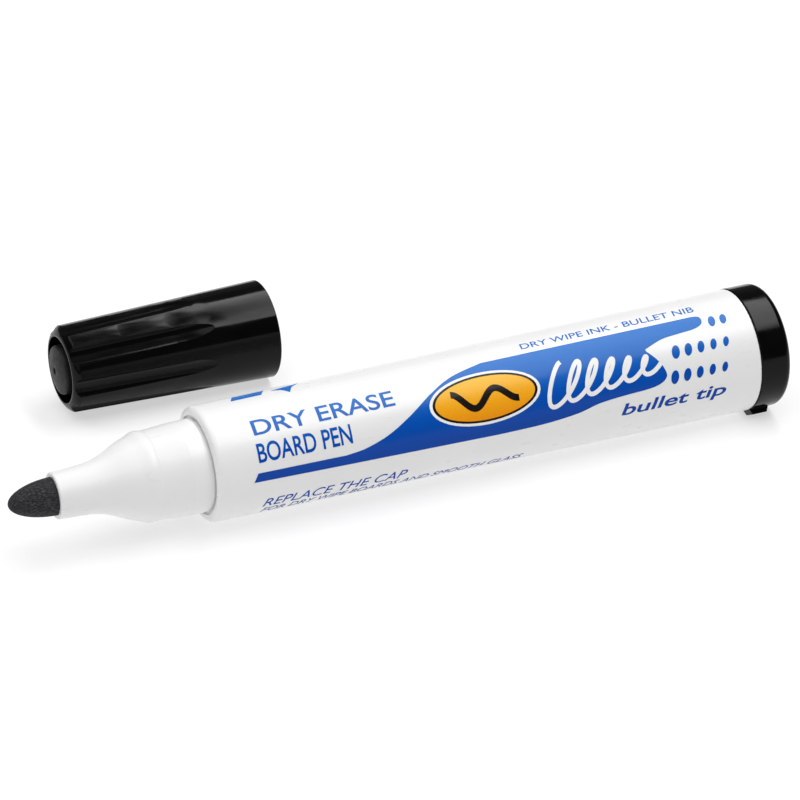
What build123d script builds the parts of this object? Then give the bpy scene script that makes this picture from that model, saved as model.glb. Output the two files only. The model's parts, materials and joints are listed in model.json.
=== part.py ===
"""Whiteboard marker with its cap taken off and laid beside it.

The marker lies along X, nib towards -X and end plug towards +X, on the plane Z = 0. The cap lies behind it,
towards +Y, parallel to it and facing the same way. The origin is the middle of the whole footprint, at the
height of the surface that both rest on.

Lengths along the marker are measured from the nib's tip, and lengths along the cap from its closed end.
"""

import os
from math import cos, radians, sin

from build123d import *

# ---------------------------------------------------------------- marker, overall
marker_length = 116.6
plug_radius = 9.0

# ---------------------------------------------------------------- barrel
barrel_front_x = 28.0
barrel_rear_x = 111.7
barrel_front_radius = 8.26
barrel_rear_radius = 8.95
barrel_rim_round = 0.9
barrel_edge_break = 0.15
seat_radius = 7.1           # bore that the front section is pressed into
seat_end_x = 41.0
plug_bore_radius = 7.75     # bore that the end plug is pressed into
plug_bore_x = 102.7
bore_step = 0.2             # step and lead-in at the end of the plug's bore
bore_step_length = 0.5
rib_count = 6               # ribs inside the barrel, which hold the reservoir off its wall
rib_width = 0.8
rib_start_x = 44.0
rib_end_x = 100.7
rib_root = 0.4              # how deep the ribs' front ends stand in the wall

# ---------------------------------------------------------------- nib
nib_radius = 2.72
nib_tip_length = 7.0        # length of the elliptical tip
nib_rear_x = 46.0
nib_taper = 2.0             # cone at the rear end
nib_rear_radius = 1.0

# ---------------------------------------------------------------- front section (nozzle)
lip_x = 6.6
lip_radius = 3.35
lip_break = 0.15
neck_end_x = 10.2
neck_radius = 3.5
flare_end_x = 18.1
flare_end_radius = 5.9
flare_start_pull = (4.0, 0.1)      # from the neck's end to the flare curve's first control point
flare_end_pull = (-2.7, -0.75)     # from the flare's end to its second
bead_crest_x = 19.9
bead_radius = 6.5
bead_rise_length = 0.8
bead_ease = 0.2             # how far the flare's slope runs on into the bead, as a share of flare_end_pull
bead_end_x = 20.7
front_land_radius = 6.35    # land that the cap's mouth passes over
cap_seat_x = 25.2           # cylinder that the cap's mouth grips
cap_seat_radius = 6.65
cap_seat_end_x = 27.9
groove_radius = 6.35        # groove behind the seat, at the barrel's rim
shoulder_recess = 0.3       # how far the groove runs inside the rim
skirt_end_x = 40.0
skirt_inner_radius = 6.0
holder_radius = 3.9         # tube inside the front section that holds the nib
holder_end_x = 30.0
throat_x = 16.4             # where the holder tube meets the inside of the flare
nose_wall = 1.3
nose_bend_x = 19.9          # bends of the inside, under the bead and under the cap's seat
seat_bend_x = 26.8
skirt_step_x = 29.5

# ---------------------------------------------------------------- ink reservoir and its wrap
reservoir_radius = 6.55
reservoir_rear_x = 102.2
wrap_thickness = 0.2
wrap_inset = 0.3            # how far the film stops short of each end

# ---------------------------------------------------------------- end plug
plug_wall_x = 113.2         # inner face of the plug's end wall
plug_skirt_x = 103.7
plug_skirt_inner_radius = 6.7
plug_post_radius = 3.2      # hollow post that holds the reservoir forward
plug_post_bore_radius = 2.2
plug_lead_in = 0.6
plug_lip = 0.2
plug_edge_round = 1.0
lug_angle = 150.0           # round the axis, from +Z towards -Y
lug_height = 0.75
lug_width = 2.2
lug_length = 3.15
lug_slope = 0.45

# ---------------------------------------------------------------- cap
cap_length = 31.75
cap_end_radius = 6.42       # outside, where the end bevel meets the side
cap_mouth_radius = 7.27
cap_bevel_length = 0.95
cap_end_face_radius = 5.2
cap_bevel_bulge = (0.4, 0.58)      # middle of the rounded bevel, as shares of its length and its rise
cap_vent_radius = 4.95      # opening in the closed end, round the inner seal
cap_bore_radius = 6.7       # running fit over cap_seat_radius
cap_bore_length = 4.0
cap_waist_x = 16.0          # the inside tapers gently up to here, then opens towards the bore
cap_waist_radius = 5.6
cap_bell_x = 23.0
cap_bell_radius = 6.55
cap_mouth_round = 0.15
flute_count = 8
flute_phase = 1.6
flute_radius = 1.95
flute_depth = 1.0           # at the closed end
flute_straight = 16.0
flute_rise = 0.91           # climb of the flute's floor over its straight part
flute_runout_radius = 48.0
flute_runout_angle = 12.0

# ---------------------------------------------------------------- cap's inner seal
seal_end_radius = 3.65
seal_crown_x = -0.9         # the domed end stands proud of the cap's end face
seal_dome_height = 0.525
seal_mouth_x = 15.5
seal_mouth_radius = 4.4
seal_wall = 0.8
seal_end_wall = 0.6         # inside of the end, behind the cap's end face
seal_gate_radius = 0.4
seal_gate_depth = 0.3
seal_gate_flare = 0.1
seal_edge_drop = 0.15       # chamfer round the dome
seal_edge_length = 0.25
seal_lip_length = 1.5       # thinned lip at the mouth
seal_lip_thinning = 0.2
seal_draft = 0.1
fin_count = 4
fin_width = 0.9
fin_start = 2.5
fin_end = 13.0

# ---------------------------------------------------------------- where the cap lies beside the marker
cap_parked_x = 21.35        # cap's closed end, along the marker
cap_parked_y = 36.84        # from the marker's axis to the cap's

footprint_y = (cap_parked_y + cap_mouth_radius - plug_radius) / 2
nib_tip = Vector(-marker_length / 2, -footprint_y, plug_radius)
cap_end = Vector(nib_tip.X + cap_parked_x, cap_parked_y - footprint_y, cap_mouth_radius)
marker_axis = Axis(nib_tip, (1, 0, 0))
cap_axis = Axis(cap_end, (1, 0, 0))


def half_plane(origin, angle=0.0):
    """Plane through the axis at origin: local X runs along it, local Y points outwards at the angle."""
    turn = radians(angle)
    return Plane(origin=origin, x_dir=(1, 0, 0), z_dir=(0, -cos(turn), -sin(turn)))


def between(x, x0, y0, x1, y1):
    """Height at x of the straight line from (x0, y0) to (x1, y1)."""
    return y0 + (y1 - y0) * (x - x0) / (x1 - x0)


def cap_inner_radius(x):
    """Radius of the cap shell's inside, ahead of its waist."""
    return between(x, 0, cap_vent_radius, cap_waist_x, cap_waist_radius)


# ================================================================ nib
with BuildPart() as nib:
    with BuildSketch(half_plane(nib_tip)):
        with BuildLine():
            EllipticalCenterArc((nib_tip_length, 0), nib_tip_length, nib_radius, start_angle=90, arc_size=90)
            Polyline(
                (nib_tip_length, nib_radius),
                (nib_rear_x - nib_taper, nib_radius),
                (nib_rear_x, nib_rear_radius),
                (nib_rear_x, 0),
                (0, 0),
            )
        make_face()
    revolve(axis=marker_axis)
nib.part.label = "nib"

# ================================================================ front section
bead_run_in = (
    flare_end_x - flare_end_pull[0] * bead_ease,
    flare_end_radius - flare_end_pull[1] * bead_ease,
)
with BuildPart() as front_section:
    with BuildSketch(half_plane(nib_tip)):
        with BuildLine():
            Polyline(
                (lip_x, nib_radius),
                (lip_x, lip_radius - lip_break),
                (lip_x + lip_break, lip_radius),
                (neck_end_x, neck_radius),
            )
            Bezier(
                (neck_end_x, neck_radius),
                (neck_end_x + flare_start_pull[0], neck_radius + flare_start_pull[1]),
                (flare_end_x + flare_end_pull[0], flare_end_radius + flare_end_pull[1]),
                (flare_end_x, flare_end_radius),
            )
            Bezier(
                (flare_end_x, flare_end_radius),
                bead_run_in,
                (bead_crest_x - bead_rise_length, bead_radius),
                (bead_crest_x, bead_radius),
            )
            Bezier(
                (bead_crest_x, bead_radius),
                ((bead_crest_x + bead_end_x) / 2, bead_radius),
                (bead_end_x, front_land_radius),
            )
            Polyline(
                (bead_end_x, front_land_radius),
                (cap_seat_x, cap_seat_radius),
                (cap_seat_end_x, cap_seat_radius),
                (cap_seat_end_x, groove_radius),
                (barrel_front_x + shoulder_recess, groove_radius),
                (barrel_front_x + shoulder_recess, seat_radius),
                (skirt_end_x, seat_radius),
                (skirt_end_x, skirt_inner_radius),
                (skirt_step_x, skirt_inner_radius),
                (seat_bend_x, cap_seat_radius - nose_wall),
                (nose_bend_x, front_land_radius - nose_wall),
                (throat_x, holder_radius),
                (holder_end_x, holder_radius),
                (holder_end_x, nib_radius),
                (lip_x, nib_radius),
            )
        make_face()
    revolve(axis=marker_axis)
front_section.part.label = "front_section"

# ================================================================ barrel
with BuildPart() as barrel:
    with BuildSketch(half_plane(nib_tip)):
        with BuildLine():
            Polyline(
                (barrel_front_x, seat_radius),
                (barrel_front_x, barrel_front_radius),
                (barrel_rear_x, barrel_rear_radius),
                (barrel_rear_x, plug_bore_radius),
                (plug_bore_x, plug_bore_radius),
                (plug_bore_x - bore_step_length, plug_bore_radius - bore_step),
                (seat_end_x, seat_radius),
                (barrel_front_x, seat_radius),
            )
        make_face()
    revolve(axis=marker_axis)
    front_rim = barrel.edges().filter_by(GeomType.CIRCLE).group_by(Axis.X)[0].sort_by(SortBy.RADIUS)[-1]
    fillet(front_rim, radius=barrel_rim_round)
    rear_rim = barrel.edges().filter_by(GeomType.CIRCLE).group_by(Axis.X)[-1].sort_by(SortBy.RADIUS)[-1]
    fillet(rear_rim, radius=barrel_edge_break)
    rib_crest = reservoir_radius + wrap_thickness
    for number in range(rib_count):
        with BuildSketch(half_plane(nib_tip, number * 360 / rib_count)):
            with BuildLine():
                Polyline(
                    (rib_start_x, rib_crest),
                    (rib_end_x, rib_crest),
                    (rib_end_x, plug_bore_radius),
                    (rib_start_x, seat_radius + rib_root),
                    (rib_start_x, rib_crest),
                )
            make_face()
        extrude(amount=rib_width / 2, both=True)
barrel.part.label = "barrel"

# ================================================================ ink reservoir
with BuildPart() as ink_reservoir:
    with BuildSketch(half_plane(nib_tip)):
        with BuildLine():
            Polyline(
                (skirt_end_x, nib_radius),
                (skirt_end_x, reservoir_radius),
                (reservoir_rear_x, reservoir_radius),
                (reservoir_rear_x, 0),
                (nib_rear_x, 0),
                (nib_rear_x, nib_rear_radius),
                (nib_rear_x - nib_taper, nib_radius),
                (skirt_end_x, nib_radius),
            )
        make_face()
    revolve(axis=marker_axis)
ink_reservoir.part.label = "ink_reservoir"

# ================================================================ reservoir wrap
with BuildPart() as reservoir_wrap:
    wrap_plane = Plane(origin=nib_tip + Vector(skirt_end_x + wrap_inset, 0, 0), z_dir=(1, 0, 0))
    with BuildSketch(wrap_plane):
        Circle(reservoir_radius + wrap_thickness)
        Circle(reservoir_radius, mode=Mode.SUBTRACT)
    extrude(amount=reservoir_rear_x - skirt_end_x - 2 * wrap_inset)
reservoir_wrap.part.label = "reservoir_wrap"

# ================================================================ end plug
with BuildPart() as end_plug:
    with BuildSketch(half_plane(nib_tip)):
        with BuildLine():
            Polyline(
                (plug_wall_x, 0),
                (plug_wall_x, plug_post_bore_radius),
                (reservoir_rear_x, plug_post_bore_radius),
                (reservoir_rear_x, plug_post_radius),
                (plug_wall_x, plug_post_radius),
                (plug_wall_x, plug_skirt_inner_radius),
                (plug_skirt_x, plug_skirt_inner_radius),
                (plug_skirt_x, plug_bore_radius - plug_lead_in / 2),
                (plug_skirt_x + plug_lead_in, plug_bore_radius),
                (barrel_rear_x, plug_bore_radius),
                (barrel_rear_x, plug_radius - plug_lip),
                (barrel_rear_x + plug_lip, plug_radius),
                (marker_length, plug_radius),
                (marker_length, 0),
                (plug_wall_x, 0),
            )
        make_face()
    revolve(axis=marker_axis)
    rear_edge = end_plug.edges().filter_by(GeomType.CIRCLE).group_by(Axis.X)[-1]
    fillet(rear_edge, radius=plug_edge_round)
    with BuildSketch(half_plane(nib_tip, lug_angle)):
        with BuildLine():
            Polyline(
                (barrel_rear_x, plug_radius - plug_lip),
                (barrel_rear_x + lug_slope, plug_radius + lug_height),
                (barrel_rear_x + lug_length - lug_slope, plug_radius + lug_height),
                (barrel_rear_x + lug_length, plug_radius - plug_lip),
                (barrel_rear_x, plug_radius - plug_lip),
            )
        make_face()
    extrude(amount=lug_width / 2, both=True)
end_plug.part.label = "end_plug"

# ================================================================ cap shell
with BuildPart() as cap_shell:
    with BuildSketch(half_plane(cap_end)):
        with BuildLine():
            bevel = (cap_bevel_length, cap_end_radius)
            bevel_rise = between(cap_bevel_bulge[1], 0, cap_end_face_radius, 1, cap_end_radius)
            bevel_middle = (cap_bevel_length * cap_bevel_bulge[0], bevel_rise)
            Line((0, cap_vent_radius), (0, cap_end_face_radius))
            ThreePointArc((0, cap_end_face_radius), bevel_middle, bevel)
            Polyline(
                bevel,
                (cap_length - cap_mouth_round, cap_mouth_radius),
                (cap_length, cap_mouth_radius - cap_mouth_round),
                (cap_length, cap_bore_radius + cap_mouth_round),
                (cap_length - cap_mouth_round, cap_bore_radius),
                (cap_length - cap_bore_length, cap_bore_radius),
                (cap_bell_x, cap_bell_radius),
                (cap_waist_x, cap_waist_radius),
                (0, cap_vent_radius),
            )
        make_face()
    revolve(axis=cap_axis)
    floor_start = cap_end_radius - flute_depth + flute_radius
    floor_end = floor_start + flute_rise
    for number in range(flute_count):
        flute_plane = half_plane(cap_end, flute_phase + number * 360 / flute_count)
        with BuildLine(flute_plane) as flute_path:
            straight = Line((-flute_radius, floor_start), (flute_straight, floor_end))
            JernArc(straight @ 1, straight % 1, radius=flute_runout_radius, arc_size=flute_runout_angle)
        with BuildSketch(Plane(origin=straight @ 0, z_dir=straight % 0)):
            Circle(flute_radius)
        sweep(path=flute_path.wires()[0], mode=Mode.SUBTRACT)
cap_shell.part.label = "cap_shell"

# ================================================================ cap's inner seal
with BuildPart() as cap_inner_seal:
    with BuildSketch(half_plane(cap_end)):
        with BuildLine():
            gate = (seal_crown_x + seal_gate_depth, seal_gate_radius)
            crown = (seal_crown_x, seal_gate_radius + seal_gate_flare)
            dome_rim = (seal_crown_x + seal_dome_height, seal_end_radius - seal_edge_drop)
            dome_middle = (seal_crown_x + seal_dome_height * 0.2, seal_end_radius * 0.55)
            Polyline((seal_end_wall, 0), (gate[0], 0), gate, crown)
            ThreePointArc(crown, dome_middle, dome_rim)
            Polyline(
                dome_rim,
                (dome_rim[0] + seal_edge_length, seal_end_radius),
                (seal_mouth_x, seal_mouth_radius),
                (seal_mouth_x, seal_mouth_radius - seal_wall + seal_lip_thinning),
                (seal_mouth_x - seal_lip_length, seal_mouth_radius - seal_wall),
                (seal_end_wall, seal_end_radius - seal_wall - seal_draft),
                (seal_end_wall, 0),
            )
        make_face()
    revolve(axis=cap_axis)
    for number in range(fin_count):
        fin_angle = flute_phase + 180 / flute_count + number * 360 / fin_count
        with BuildSketch(half_plane(cap_end, fin_angle)):
            with BuildLine():
                Polyline(
                    (fin_start, seal_end_radius - seal_wall / 2),
                    (fin_start, cap_inner_radius(fin_start)),
                    (fin_end, cap_inner_radius(fin_end)),
                    (fin_end, seal_mouth_radius - seal_wall / 2),
                    (fin_start, seal_end_radius - seal_wall / 2),
                )
            make_face()
        extrude(amount=fin_width / 2, both=True)
cap_inner_seal.part.label = "cap_inner_seal"

# ================================================================ files
os.makedirs("parts", exist_ok=True)
export_step(barrel.part, "parts/barrel.step")
export_step(front_section.part, "parts/front_section.step")
export_step(nib.part, "parts/nib.step")
export_step(ink_reservoir.part, "parts/ink_reservoir.step")
export_step(reservoir_wrap.part, "parts/reservoir_wrap.step")
export_step(end_plug.part, "parts/end_plug.step")
export_step(cap_shell.part, "parts/cap_shell.step")
export_step(cap_inner_seal.part, "parts/cap_inner_seal.step")
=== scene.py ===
"""Looks of the whiteboard marker: materials, the print on its barrel, floor, lights and camera.

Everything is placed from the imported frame, in metres. The marker's axis runs along X, nib towards -X.
The print is laid out flat, in millimetres: x along the marker from the nib's tip, and an angle round its axis
in degrees, from straight up towards the camera's side. It is then wrapped on the barrel's cone.
"""

import json
import math

import bmesh
import bpy
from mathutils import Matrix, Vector


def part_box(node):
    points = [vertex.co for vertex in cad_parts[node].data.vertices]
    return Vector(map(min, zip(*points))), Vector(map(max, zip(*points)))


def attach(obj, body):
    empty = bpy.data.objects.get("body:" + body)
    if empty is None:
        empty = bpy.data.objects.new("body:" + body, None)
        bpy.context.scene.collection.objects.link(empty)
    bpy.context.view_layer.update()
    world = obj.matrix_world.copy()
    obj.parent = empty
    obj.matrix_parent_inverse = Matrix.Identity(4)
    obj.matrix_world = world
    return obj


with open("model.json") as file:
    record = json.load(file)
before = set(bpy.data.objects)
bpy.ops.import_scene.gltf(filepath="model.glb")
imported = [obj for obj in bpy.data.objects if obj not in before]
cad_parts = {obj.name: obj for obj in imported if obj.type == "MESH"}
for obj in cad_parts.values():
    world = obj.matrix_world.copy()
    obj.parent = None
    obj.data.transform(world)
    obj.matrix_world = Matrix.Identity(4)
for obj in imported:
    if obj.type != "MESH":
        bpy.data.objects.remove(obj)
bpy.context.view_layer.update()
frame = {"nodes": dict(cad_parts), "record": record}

MM = 0.001

nib_low, nib_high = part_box("nib")
NIB_TIP = Vector((nib_low.x, (nib_low.y + nib_high.y) / 2, (nib_low.z + nib_high.z) / 2))


# ---------------------------------------------------------------- camera
CAMERA_AIM = Vector((58.785, 0, 3.464)) * MM     # from the nib's tip
CAMERA_AZIMUTH = -23.922
CAMERA_ELEVATION = 28.756
CAMERA_DISTANCE = 0.7
VIEW_WIDTH = 112.76 * MM    # width of the picture, measured at the aim


def direction(azimuth, elevation):
    """Unit vector from the object towards a camera or light. Azimuth 0 is towards -Y."""
    turn, rise = math.radians(azimuth), math.radians(elevation)
    return Vector((math.sin(turn) * math.cos(rise), -math.cos(turn) * math.cos(rise), math.sin(rise)))


def make_camera():
    back = direction(CAMERA_AZIMUTH, CAMERA_ELEVATION)
    data = bpy.data.cameras.new("camera")
    data.sensor_width = 36
    data.lens = data.sensor_width * CAMERA_DISTANCE / VIEW_WIDTH
    data.clip_start = 0.05
    data.clip_end = 20
    camera = bpy.data.objects.new("camera", data)
    camera.location = NIB_TIP + CAMERA_AIM + back * CAMERA_DISTANCE
    camera.rotation_euler = back.to_track_quat("Z", "Y").to_euler()
    bpy.context.scene.collection.objects.link(camera)
    bpy.context.scene.camera = camera


# ---------------------------------------------------------------- floor and light
FLOOR_HALF = 6.0            # half of the floor's side
BOX_HEIGHT = 0.9            # height of the two softboxes overhead


def make_floor():
    """Pale floor that glows a little, like a light table, which keeps the shadows faint."""
    mesh = bpy.data.meshes.new("floor")
    corners = [(x * FLOOR_HALF, y * FLOOR_HALF, 0) for x, y in ((-1, -1), (1, -1), (1, 1), (-1, 1))]
    mesh.from_pydata(corners, [], [(0, 1, 2, 3)])
    floor = bpy.data.objects.new("floor", mesh)
    bpy.context.scene.collection.objects.link(floor)
    material = bpy.data.materials.new("floor")
    material.use_nodes = True
    shader = material.node_tree.nodes["Principled BSDF"]
    shader.inputs["Base Color"].default_value = (0.45, 0.45, 0.45, 1)
    shader.inputs["Roughness"].default_value = 0.9
    shader.inputs["Specular IOR Level"].default_value = 0.1
    shader.inputs["Emission Color"].default_value = (1, 1, 1, 1)
    shader.inputs["Emission Strength"].default_value = 0.56
    mesh.materials.append(material)


def softbox(name, width, depth, radiance):
    """Rectangular area light of the given brightness, not yet placed."""
    data = bpy.data.lights.new(name, "AREA")
    data.shape = "RECTANGLE"
    data.size = width
    data.size_y = depth
    data.energy = radiance * math.pi * data.size * data.size_y
    light = bpy.data.objects.new(name, data)
    bpy.context.scene.collection.objects.link(light)
    return light


def ceiling_box(name, x_low, x_high, y_low, y_high, radiance):
    """Softbox that faces straight down. The four sides are given as multiples of its height."""
    light = softbox(name, (x_high - x_low) * BOX_HEIGHT, (y_high - y_low) * BOX_HEIGHT, radiance)
    light.location = ((x_low + x_high) / 2 * BOX_HEIGHT, (y_low + y_high) / 2 * BOX_HEIGHT, BOX_HEIGHT)


def side_box(name, azimuth, elevation, distance, width, height, radiance):
    """Softbox that faces the object from the side."""
    light = softbox(name, width, height, radiance)
    back = direction(azimuth, elevation)
    light.location = back * distance
    light.rotation_euler = back.to_track_quat("Z", "Y").to_euler()


def make_world():
    world = bpy.data.worlds.new("studio")
    world.use_nodes = True
    background = world.node_tree.nodes["Background"]
    background.inputs["Color"].default_value = (1, 1, 1, 1)
    background.inputs["Strength"].default_value = 0.10
    bpy.context.scene.world = world


def make_studio():
    """Floor and lights.

    The strip's reflection runs along the upper side of cap and barrel. The fill is wide and hangs on the
    nib's side, where the round sides don't reflect it. The front box lifts the marker's underside a little.
    """
    make_floor()
    make_world()
    ceiling_box("strip", x_low=0.28, x_high=0.60, y_low=-0.72, y_high=0.70, radiance=7.1)
    ceiling_box("fill", x_low=-1.10, x_high=0.10, y_low=-0.85, y_high=0.85, radiance=1.65)
    side_box("front", azimuth=-62, elevation=22, distance=1.0, width=0.9, height=0.5, radiance=0.5)
    bpy.context.scene.view_settings.view_transform = "Standard"


# ---------------------------------------------------------------- materials
class Finish:
    """A Principled material and short ways to add procedural nodes to it."""

    def __init__(self, name, color, roughness, **sockets):
        self.material = bpy.data.materials.new(name)
        self.material.use_nodes = True
        self.tree = self.material.node_tree
        self.shader = self.tree.nodes["Principled BSDF"]
        self.shader.inputs["Base Color"].default_value = (*color, 1)
        self.shader.inputs["Roughness"].default_value = roughness
        for socket, value in sockets.items():
            self.shader.inputs[socket.replace("_", " ")].default_value = value
        self.place = self.tree.nodes.new("ShaderNodeTexCoord").outputs["Object"]
        self.normal = None

    def noise(self, size, detail=3.0, stretch=(1, 1, 1)):
        """Noise whose features are about size millimetres, stretched along an axis."""
        mapping = self.tree.nodes.new("ShaderNodeMapping")
        mapping.inputs["Scale"].default_value = [1 / (size * MM * part) for part in stretch]
        node = self.tree.nodes.new("ShaderNodeTexNoise")
        node.inputs["Scale"].default_value = 1
        node.inputs["Detail"].default_value = detail
        self.tree.links.new(self.place, mapping.inputs["Vector"])
        self.tree.links.new(mapping.outputs["Vector"], node.inputs["Vector"])
        return node.outputs["Fac"]

    def ramp(self, source, *stops):
        """Colour ramp on source, with stops of (position, colour)."""
        node = self.tree.nodes.new("ShaderNodeValToRGB")
        elements = node.color_ramp.elements
        while len(elements) < len(stops):
            elements.new(0.5)
        for element, (position, color) in zip(elements, stops):
            element.position = position
            element.color = (*color, 1)
        self.tree.links.new(source, node.inputs["Fac"])
        return node.outputs["Color"]

    def span(self, source, low, high):
        """Source, with its usual range of 0.3 to 0.7 spread over low to high."""
        node = self.tree.nodes.new("ShaderNodeMapRange")
        node.inputs["From Min"].default_value = 0.3
        node.inputs["From Max"].default_value = 0.7
        node.inputs["To Min"].default_value = low
        node.inputs["To Max"].default_value = high
        self.tree.links.new(source, node.inputs["Value"])
        return node.outputs["Result"]

    def color(self, output):
        self.tree.links.new(output, self.shader.inputs["Base Color"])

    def roughness(self, output):
        self.tree.links.new(output, self.shader.inputs["Roughness"])

    def fade(self, low, high, bottom, middle, top):
        """Painted light: colours that change with the height, from low to high millimetres above the marker's
        axis, a painted sheen of the light overhead at the top and painted shade at the bottom.
        """
        split = self.tree.nodes.new("ShaderNodeSeparateXYZ")
        self.tree.links.new(self.place, split.inputs["Vector"])
        height = self.tree.nodes.new("ShaderNodeMapRange")
        height.inputs["From Min"].default_value = NIB_TIP.z + low * MM
        height.inputs["From Max"].default_value = NIB_TIP.z + high * MM
        self.tree.links.new(split.outputs["Z"], height.inputs["Value"])
        # painted sheen at the top, painted shade at the bottom, set by height alone
        self.color(self.ramp(height.outputs["Result"], (0.0, bottom), (0.5, middle), (1.0, top)))

    def edges(self, radius):
        """Small rounding, in millimetres, of the mould's sharp edges."""
        node = self.tree.nodes.new("ShaderNodeBevel")
        node.samples = 6
        node.inputs["Radius"].default_value = radius * MM
        self.normal = node.outputs["Normal"]
        self.tree.links.new(self.normal, self.shader.inputs["Normal"])

    def bump(self, source, height, strength=1.0):
        """Relief of height millimetres."""
        node = self.tree.nodes.new("ShaderNodeBump")
        node.inputs["Distance"].default_value = height * MM
        node.inputs["Strength"].default_value = strength
        self.tree.links.new(source, node.inputs["Height"])
        if self.normal:
            self.tree.links.new(self.normal, node.inputs["Normal"])
        self.normal = node.outputs["Normal"]
        self.tree.links.new(self.normal, self.shader.inputs["Normal"])


def white_plastic():
    """Satin white polypropylene with a faint moulded grain."""
    finish = Finish("white_plastic", (0.83, 0.83, 0.83), 0.3, IOR=1.42)
    finish.color(finish.ramp(finish.noise(9), (0.3, (0.82, 0.822, 0.824)), (0.7, (0.84, 0.839, 0.838))))
    finish.roughness(finish.span(finish.noise(0.9, stretch=(3, 1, 1)), 0.27, 0.32))
    finish.bump(finish.noise(0.35), 0.0008, 0.5)
    return finish.material


def black_plastic():
    """Semi-gloss black polypropylene with soft flow marks along the part."""
    finish = Finish("black_plastic", (0.0015, 0.0015, 0.0015), 0.13, IOR=1.235)
    finish.color(finish.ramp(finish.noise(3), (0.3, (0.001, 0.001, 0.0011)), (0.7, (0.002, 0.002, 0.0021))))
    finish.roughness(finish.span(finish.noise(0.8, stretch=(6, 1, 1)), 0.09, 0.15))
    finish.edges(0.1)
    finish.bump(finish.noise(0.5, stretch=(3, 1, 1)), 0.0006, 0.5)
    return finish.material


def black_plastic_matte():
    """Black plastic with the fine grain of a spark-eroded mould."""
    finish = Finish("black_plastic_matte", (0.008, 0.008, 0.009), 0.5, IOR=1.3)
    finish.color(finish.ramp(finish.noise(0.3), (0.35, (0.005, 0.005, 0.0055)), (0.7, (0.012, 0.012, 0.013))))
    finish.roughness(finish.span(finish.noise(0.6), 0.42, 0.6))
    finish.edges(0.08)
    finish.bump(finish.noise(0.16), 0.012, 0.8)
    return finish.material


def nib_fibre():
    """Pressed fibre soaked with black ink, with pale specks between the fibres."""
    finish = Finish("nib_fibre", (0.02, 0.02, 0.022), 0.85, IOR=1.35)
    fibres = finish.noise(0.14, detail=4, stretch=(3.5, 1, 1))
    finish.color(finish.ramp(
        fibres,
        (0.3, (0.005, 0.005, 0.006)),
        (0.52, (0.022, 0.022, 0.025)),
        (0.72, (0.075, 0.075, 0.085)),
    ))
    finish.roughness(finish.span(finish.noise(0.4), 0.7, 0.95))
    finish.bump(fibres, 0.06, 0.9)
    return finish.material


def reservoir_fibre():
    """Bonded fibre that holds the ink, with its strands along the marker."""
    finish = Finish("reservoir_fibre", (0.04, 0.04, 0.045), 0.95)
    strands = finish.noise(0.3, stretch=(14, 1, 1))
    finish.color(finish.ramp(strands, (0.3, (0.012, 0.012, 0.014)), (0.7, (0.09, 0.09, 0.1))))
    finish.bump(strands, 0.15)
    return finish.material


def clear_film():
    """Thin clear film, slightly crinkled along the marker."""
    finish = Finish("clear_film", (0.88, 0.9, 0.92), 0.12, IOR=1.46, Transmission_Weight=0.85)
    finish.roughness(finish.span(finish.noise(3), 0.06, 0.2))
    finish.bump(finish.noise(2, stretch=(5, 1, 1)), 0.05)
    return finish.material


def ink(name, color, roughness):
    """Screen-printed ink with a faint grain, where the mesh laid it down."""
    finish = Finish(name, color, roughness, IOR=1.22)
    finish.roughness(finish.span(finish.noise(0.4), roughness - 0.04, roughness + 0.06))
    finish.bump(finish.noise(0.22), 0.0006, 0.5)
    return finish


def plain_ink(name, dark, light, roughness):
    """Ink of one colour, slightly uneven."""
    finish = ink(name, light, roughness)
    finish.color(finish.ramp(finish.noise(1.6), (0.35, dark), (0.65, light)))
    return finish.material


def amber_ink():
    """Amber that turns yellower towards the top of the barrel and deeper towards its bottom: a painted sheen
    of the light overhead, and painted shade below.
    """
    finish = ink("amber_print", (0.86, 0.36, 0.01), 0.26)
    # painted sheen: paler, yellower amber on top; painted shade: deeper amber underneath
    finish.fade(2.0, 7.4, (0.84, 0.27, 0.004), (0.88, 0.38, 0.012), (0.9, 0.52, 0.06))
    return finish.material


def blue_ink():
    """Blue that turns paler towards the top of the barrel and deeper towards its bottom: a painted reflection
    of the light overhead, and painted shade below.
    """
    finish = ink("blue_print", (0.0013, 0.090, 0.52), 0.22)
    # painted reflection: paler blue on top; painted shade: deeper blue underneath
    finish.fade(0.5, 7.8, (0.0005, 0.054, 0.36), (0.002, 0.080, 0.44), (0.014, 0.155, 0.53))
    return finish.material


def dress_cad():
    """Give each CAD node the material of its slot in the record."""
    makers = {
        "white_plastic": white_plastic,
        "black_plastic": black_plastic,
        "nib_fibre": nib_fibre,
        "black_plastic_matte": black_plastic_matte,
        "reservoir_fibre": reservoir_fibre,
        "clear_film": clear_film,
    }
    made = {slot: maker() for slot, maker in makers.items()}
    for part in frame["record"]["subparts"]:
        cad = frame["nodes"][part["node"]]
        cad.data.materials.clear()
        cad.data.materials.append(made[part["material_slot"]])


# ---------------------------------------------------------------- wrapping the print on the barrel
def barrel_cone():
    """The barrel's outer cone, as (x, radius) of its front and rear circles, in metres from the nib's tip."""
    points = [vertex.co - NIB_TIP for vertex in frame["nodes"]["barrel"].data.vertices]
    middle = sum(point.x for point in points) / len(points)
    circles = []
    for half in ([p for p in points if p.x < middle], [p for p in points if p.x >= middle]):
        rim = max(half, key=lambda point: point.yz.length)
        circles.append((rim.x, rim.yz.length))
    return circles


CONE = barrel_cone()
PRINT_RADIUS = 8.5          # radius at which the flat layout has its true height. All in millimetres
INK_BOTTOM = 0.004          # gap under the lowest ink
INK_THICKNESS = 0.010
LAYER_STEP = 0.014          # from one layer of ink to the next
WELD = 0.0005               # points closer than this become one
SLICE = 0.5                 # width of the bands that the flat print is cut into, so that it can bend


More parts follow.
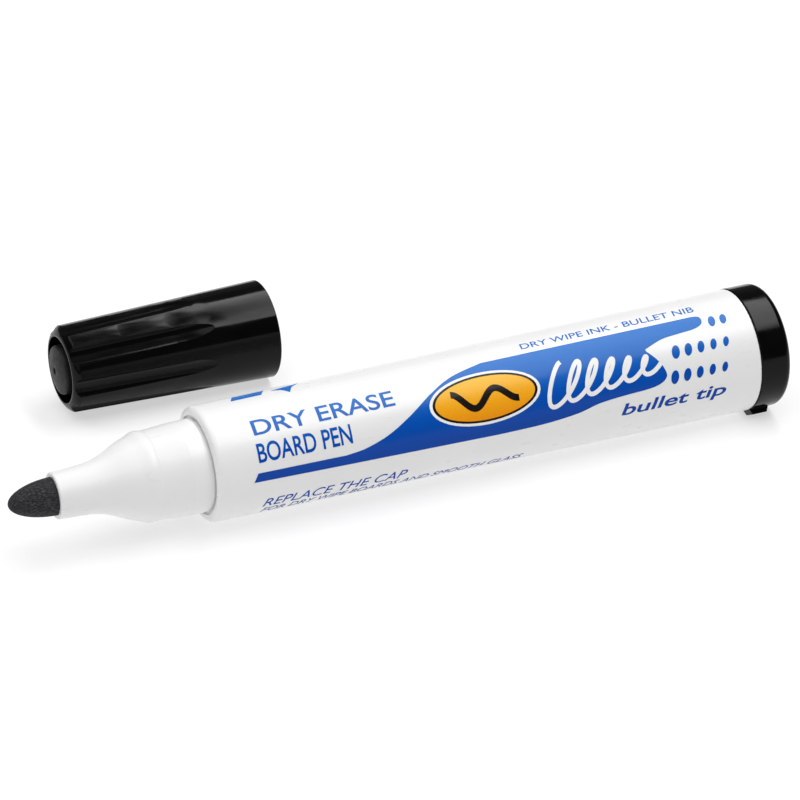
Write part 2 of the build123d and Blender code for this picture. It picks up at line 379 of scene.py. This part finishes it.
def up(angle):
    """Height in the flat layout, in millimetres, of an angle in degrees."""
    return -math.radians(angle) * PRINT_RADIUS


def on_barrel(x, height, lift):
    """Point on the barrel for a point of the flat layout, lifted off the surface. All in millimetres."""
    (x0, r0), (x1, r1) = CONE
    turn = -height / PRINT_RADIUS
    radius = r0 + (r1 - r0) * (x * MM - x0) / (x1 - x0) + lift * MM
    return NIB_TIP + Vector((x * MM, -math.sin(turn) * radius, math.cos(turn) * radius))


def finish_piece(name, mesh, layer, material):
    """Wrap a flat mesh on the barrel and let it ride there."""
    for vertex in mesh.vertices:
        lift = INK_BOTTOM + layer * LAYER_STEP + (INK_THICKNESS if vertex.co.z > 0 else 0)
        vertex.co = on_barrel(vertex.co.x, vertex.co.y, lift)
    mesh.name = name
    mesh.materials.clear()
    mesh.materials.append(material)
    piece = bpy.data.objects.new(name, mesh)
    bpy.context.scene.collection.objects.link(piece)
    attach(piece, "marker")


def slice_flat(mesh):
    """Weld a flat mesh and cut it into bands along the marker."""
    work = bmesh.new()
    work.from_mesh(mesh)
    bmesh.ops.remove_doubles(work, verts=work.verts, dist=WELD)
    bmesh.ops.recalc_face_normals(work, faces=work.faces)
    heights = [vertex.co.y for vertex in work.verts]
    cut = math.ceil(min(heights) / SLICE) * SLICE
    while cut < max(heights):
        everything = work.verts[:] + work.edges[:] + work.faces[:]
        bmesh.ops.bisect_plane(work, geom=everything, dist=0.0001, plane_co=(0, cut, 0), plane_no=(0, 1, 0))
        cut += SLICE
    bmesh.ops.triangulate(work, faces=work.faces)
    work.to_mesh(mesh)
    work.free()


def flat_mesh(curve):
    """Mesh of a filled flat curve, one unit thick."""
    curve.extrude = 0.5
    holder = bpy.data.objects.new(curve.name, curve)
    bpy.context.scene.collection.objects.link(holder)
    mesh = bpy.data.meshes.new_from_object(holder.evaluated_get(bpy.context.evaluated_depsgraph_get()))
    bpy.data.objects.remove(holder)
    bpy.data.curves.remove(curve)
    return mesh


def print_shapes(name, outlines, layer, material):
    """Print filled outlines. Each is a list of (x, angle) points."""
    curve = bpy.data.curves.new(name, "CURVE")
    curve.dimensions = "2D"
    curve.fill_mode = "BOTH"
    for outline in outlines:
        spline = curve.splines.new("POLY")
        spline.points.add(len(outline) - 1)
        for point, (x, angle) in zip(spline.points, outline):
            point.co = (x, up(angle), 0, 1)
        spline.use_cyclic_u = True
    mesh = flat_mesh(curve)
    slice_flat(mesh)
    finish_piece(name, mesh, layer, material)


def print_words(name, words, x_low, x_high, top, bottom, weight, lean, material):
    """Print words so that they fill the given stretch and angles."""
    curve = bpy.data.curves.new(name, "FONT")
    curve.body = words
    curve.offset = weight
    curve.shear = lean
    mesh = flat_mesh(curve)
    xs = [vertex.co.x for vertex in mesh.vertices]
    ys = [vertex.co.y for vertex in mesh.vertices]
    wide = (x_high - x_low) / (max(xs) - min(xs))
    tall = (up(top) - up(bottom)) / (max(ys) - min(ys))
    for vertex in mesh.vertices:
        vertex.co.x = x_low + (vertex.co.x - min(xs)) * wide
        vertex.co.y = up(bottom) + (vertex.co.y - min(ys)) * tall
    slice_flat(mesh)
    finish_piece(name, mesh, 0, material)


def print_stroke(name, route, half_width, layer, material):
    """Print a pen stroke along a route of (x, angle) points."""
    line = [Vector((x, up(angle))) for x, angle in route]
    sides = []
    for index, point in enumerate(line):
        along = (line[min(index + 1, len(line) - 1)] - line[max(index - 1, 0)]).normalized()
        across = Vector((-along.y, along.x)) * half_width
        sides.append((point - across, point + across))
    vertices = [(*side, level) for pair in sides for level in (-0.5, 0.5) for side in pair]
    faces = []
    for index in range(len(sides) - 1):
        a, b = index * 4, index * 4 + 4
        faces += [(a, a + 1, b + 1, b), (a + 2, b + 2, b + 3, a + 3)]
        faces += [(a, b, b + 2, a + 2), (a + 1, a + 3, b + 3, b + 1)]
    last = len(vertices) - 4
    faces += [(0, 2, 3, 1), (last, last + 1, last + 3, last + 2)]
    mesh = bpy.data.meshes.new(name)
    mesh.from_pydata(vertices, [], faces)
    slice_flat(mesh)
    finish_piece(name, mesh, layer, material)


# ---------------------------------------------------------------- shapes of the print
def blend(a, b, c, d, t):
    """Catmull-Rom value at share t of the way from b to c."""
    square = (2 * a - 5 * b + 4 * c - d) * t ** 2
    cube = (3 * b - a - 3 * c + d) * t ** 3
    return 0.5 * (2 * b + (c - a) * t + square + cube)


def smooth(points, steps=8):
    """Smooth curve through points."""
    ends = [points[0], *points, points[-1]]
    curve = []
    for before, start, stop, after in zip(ends, ends[1:], ends[2:], ends[3:]):
        for step in range(steps):
            t = step / steps
            curve.append(tuple(blend(*values, t) for values in zip(before, start, stop, after)))
    curve.append(points[-1])
    return curve


def ellipse(x, angle, half_x, half_angle, lean=0.0, steps=48):
    """Ellipse whose top leans by lean millimetres along the marker."""
    outline = []
    for step in range(steps):
        turn = 2 * math.pi * step / steps
        across, down = math.cos(turn), math.sin(turn)
        outline.append((x + half_x * across - lean * down, angle + half_angle * down))
    return outline


def dot_row(x, angle, count, pitch, half_x):
    """Row of leaning dots that get smaller towards the end plug."""
    shrink, height_share, lean = 0.07, 10, 0.16     # height_share is in degrees for each millimetre of half_x
    row = []
    for number in range(count):
        size = half_x * (1 - shrink * number)
        row.append(ellipse(x + pitch * number, angle, size, size * height_share, lean))
    return row


def wave_field():
    """The blue stripe that swells into a field behind badge and scribble."""
    rise = smooth([
        (47.0, 80.0), (50.0, 77.2), (53.6, 69.0), (57.4, 55.0), (61.2, 38.6), (65.0, 26.0), (70.0, 17.6),
    ])
    arm = smooth([
        (103.2, 17.4), (104.2, 19.0), (104.4, 24.0), (103.9, 28.6), (102.6, 31.4), (100.4, 32.6),
        (97.4, 34.6), (94.4, 41.0),
    ])
    tail = smooth([
        (94.4, 43.0), (95.6, 52.0), (96.5, 62.0), (96.6, 71.0), (94.6, 77.4), (89.6, 79.6), (85.9, 82.0),
        (82.4, 87.6), (77.0, 91.2), (70.0, 92.0),
    ])
    stripe_top, stripe_bottom, stripe_rear = (33.8, 79.4), (33.1, 88.2), (47.0, 89.8)
    return [stripe_top, *rise, *arm, *tail, stripe_rear, stripe_bottom]


def scribble():
    """A run of slanted loops that gets smaller, like a line tried out with a pen."""
    start_x, length, middle = 79.4, 16.0, 56.5
    loops, steps = 5.75, 200
    loop_height, loop_width, slant = 21, 1.3, 0.09     # half height in degrees, half width in millimetres
    route = []
    for step in range(steps + 1):
        t = step / steps
        phase = 2 * math.pi * loops * t
        swing = loop_height * (1 - 0.66 * t) * math.cos(phase)
        x = start_x + length * t - loop_width * math.sin(phase) * (1 - 0.45 * t) + slant * swing
        route.append((x, middle - swing))
    return route


def badge_wave(x, angle):
    """A pen wave that flattens out, centred on x and angle."""
    half_x, half_angle, steps = 5.0, 9.0, 60
    route = []
    for step in range(steps + 1):
        t = step / steps
        swing = half_angle * math.cos(3 * math.pi * t) * (1 - 0.3 * t)
        route.append((x - half_x + 2 * half_x * t, angle - swing))
    return route


def make_badge(dark, white):
    """Amber oval with a white rim, a dark line and a plain pen wave."""
    x, angle = 68.8, 53.6
    print_shapes("print_badge_rim", [ellipse(x, angle, 8.5, 25.4)], 1, white)
    print_shapes("print_badge_line", [ellipse(x, angle, 8.05, 22.8)], 2, dark)
    print_shapes("print_badge", [ellipse(x, angle, 7.65, 20.6)], 3, amber_ink())
    print_stroke("print_badge_wave", badge_wave(x, angle), 0.48, 4, dark)


def make_words(blue):
    """Generic words. Each has its x range, its top and bottom angle, its extra weight and its slant."""
    lines = {
        "upper_title": ("DRY ERASE", 34.3, 55.6, 26.5, 43.0, 0.012, 0.0),
        "lower_title": ("BOARD PEN", 34.1, 48.2, 50.8, 69.8, 0.014, 0.0),
        "top_line": ("DRY WIPE INK - BULLET NIB", 76.8, 104.2, 3.6, 11.8, 0.006, 0.1),
        "low_line": ("REPLACE THE CAP", 34.8, 56.6, 111.5, 124.0, 0.0, 0.3),
        "lowest_line": ("FOR DRY WIPE BOARDS AND SMOOTH GLASS", 35.0, 75.0, 128.0, 139.0, 0.0, 0.3),
        "rear_word": ("bullet tip", 89.4, 106.0, 88.0, 104.5, 0.016, 0.2),
    }
    for name, (words, x_low, x_high, top, bottom, weight, lean) in lines.items():
        print_words("print_" + name, words, x_low, x_high, top, bottom, weight, lean, blue)


def make_print():
    blue = blue_ink()
    dark = plain_ink("dark_print", (0.008, 0.006, 0.005), (0.013, 0.010, 0.008), 0.24)
    white = plain_ink("white_print", (0.84, 0.84, 0.84), (0.88, 0.88, 0.88), 0.26)
    print_shapes("print_field", [wave_field()], 0, blue)
    make_badge(dark, white)
    print_stroke("print_scribble", scribble(), 0.32, 1, white)
    make_words(blue)
    dots = dot_row(105.8, 27.0, 2, 1.8, 0.56) + dot_row(98.8, 49.5, 5, 2.0, 0.63)
    dots += dot_row(97.95, 72.4, 5, 1.99, 0.63)
    print_shapes("print_dots", dots, 0, blue)
    bar = [(33.6, -8.5), (38.2, -8.5), (39.2, -20.5), (34.4, -20.5)]
    tick = [(39.9, -14.0), (44.4, -20.0), (42.9, -11.0), (42.1, -1.0), (41.2, -10.0)]
    print_shapes("print_far_marks", [bar, tick], 0, blue)


make_camera()
make_studio()
dress_cad()
make_print()
